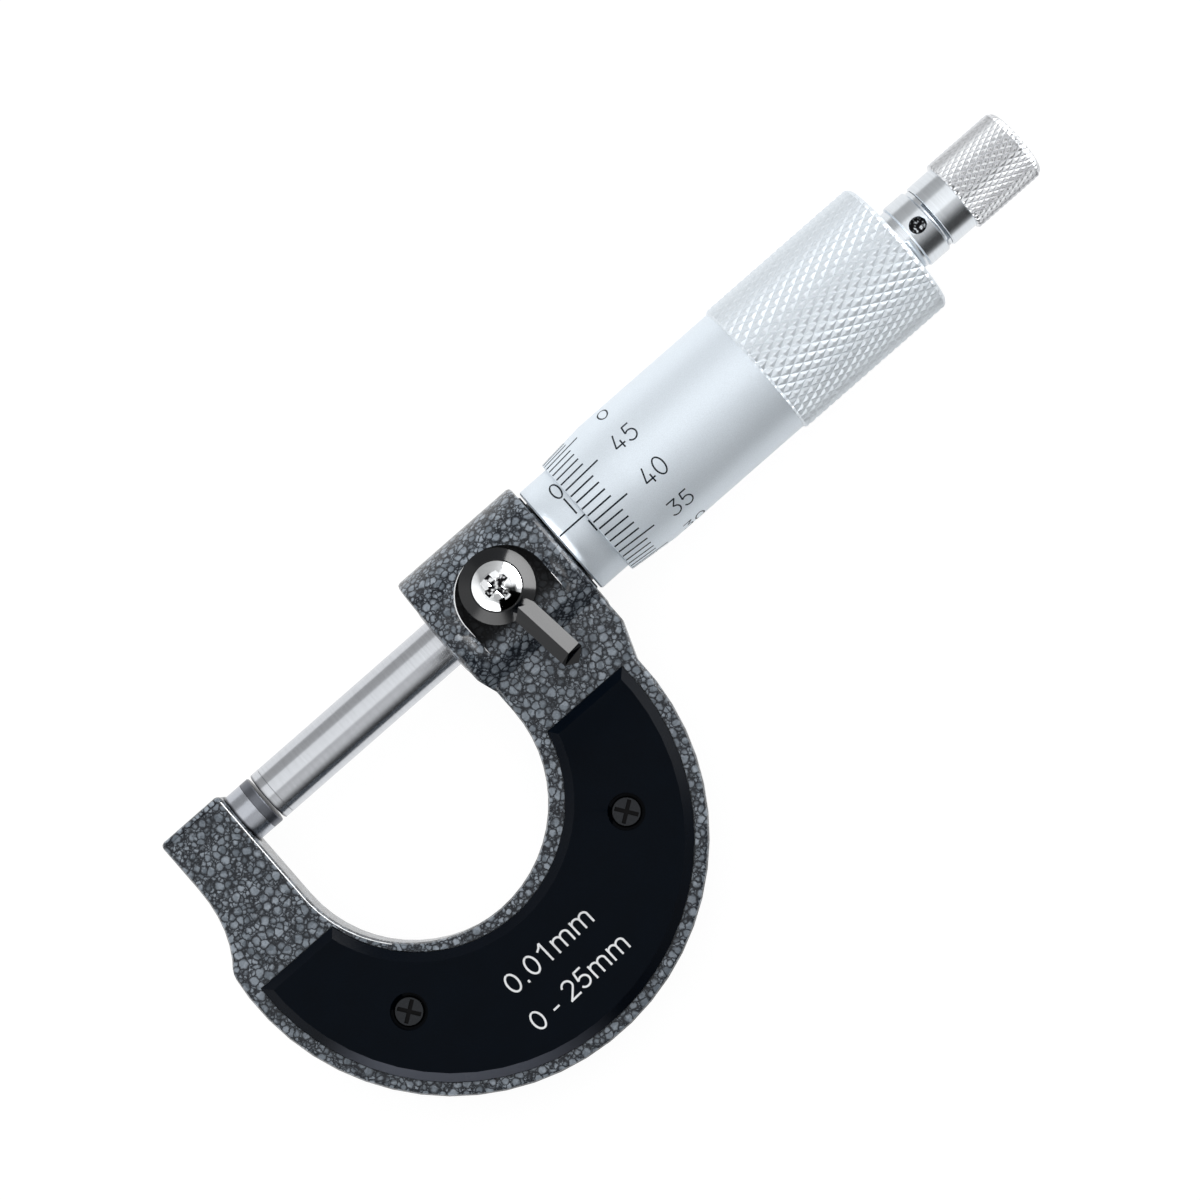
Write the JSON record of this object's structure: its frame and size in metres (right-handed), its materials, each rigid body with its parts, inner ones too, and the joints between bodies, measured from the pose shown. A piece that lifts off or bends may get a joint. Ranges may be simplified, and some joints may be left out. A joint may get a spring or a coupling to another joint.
{
  "type": "outside micrometer",
  "caption": "C-shaped frame with an anvil, a sliding spindle, a graduated sleeve and thimble, a ratchet stop and a lever lock, for measuring outside sizes.",
  "frame": {"origin": "centre of the anvil's measuring face", "axes": "+X along the spindle's axis from the anvil to the ratchet, -Y towards the hanging frame, +Z out of the front"},
  "size_m": [0.1352, 0.0576, 0.02],
  "materials": {
    "enamel": "hammered enamel",
    "ground_steel": "ground",
    "carbide": "lapped",
    "satin_chrome": "satin",
    "bright_chrome": "polished",
    "black_plastic": "smooth",
    "dark_steel": "blackened",
    "black_metal": "blackened",
    "brass": "turned"
  },
  "bodies": {
    "frame": {"frame": "enamel", "anvil": "ground_steel", "anvil_tip": "carbide", "cover_front": "black_plastic", "cover_back": "black_plastic", "cover_screw_front_left": "dark_steel", "cover_screw_front_right": "dark_steel", "cover_screw_back_left": "dark_steel", "cover_screw_back_right": "dark_steel", "sleeve": "satin_chrome", "inner_sleeve": "ground_steel", "adjusting_nut": "ground_steel"},
    "spindle": {"spindle": "ground_steel", "spindle_tip": "carbide"},
    "thimble": {"thimble": "satin_chrome", "ratchet_stud": "bright_chrome", "ratchet_screw": "ground_steel"},
    "knob": {"ratchet_knob": "bright_chrome", "ratchet_spring": "ground_steel"},
    "ratchet_ring": {"ratchet_ring": "ground_steel"},
    "lock_plug": {"lock_plug": "brass"},
    "lock": {"lock_lever": "black_metal", "lock_screw": "bright_chrome"}
  },
  "joints": [
    {"name": "spindle_travel", "type": "slide", "parent": "frame", "child": "spindle", "axis": [1, 0, 0], "range_m": [-0.00041, 0.02459]},
    {"name": "thimble_turn", "type": "hinge", "parent": "spindle", "child": "thimble", "pos_m": [0.075, 0, 0], "axis": [1, 0, 0], "range_deg": [-297.37, 17702.65]},
    {"name": "ratchet_turn", "type": "hinge", "parent": "thimble", "child": "knob", "pos_m": [0.112, 0, 0], "axis": [1, 0, 0], "continuous": true},
    {"name": "ratchet_hop", "type": "slide", "parent": "knob", "child": "ratchet_ring", "axis": [1, 0, 0], "range_m": [0, 0.0005], "stiffness_N_per_m": 500, "springref_m": -0.0015, "deforming": ["ratchet_spring"]},
    {"name": "lock_travel", "type": "slide", "parent": "frame", "child": "lock_plug", "axis": [0, 0, 1], "range_m": [-0.0000972, 0.0000389]},
    {"name": "lock_turn", "type": "hinge", "parent": "lock_plug", "child": "lock", "pos_m": [0.0375, 0.00035, 0], "axis": [0, 0, 1], "range_deg": [-50, 20.01]}
  ],
  "couplings": [
    {"joint": "thimble_turn", "follows": "spindle_travel", "rad_per_m": 12566},
    {"joint": "lock_turn", "follows": "lock_travel", "rad_per_m": 8976}
  ]
}
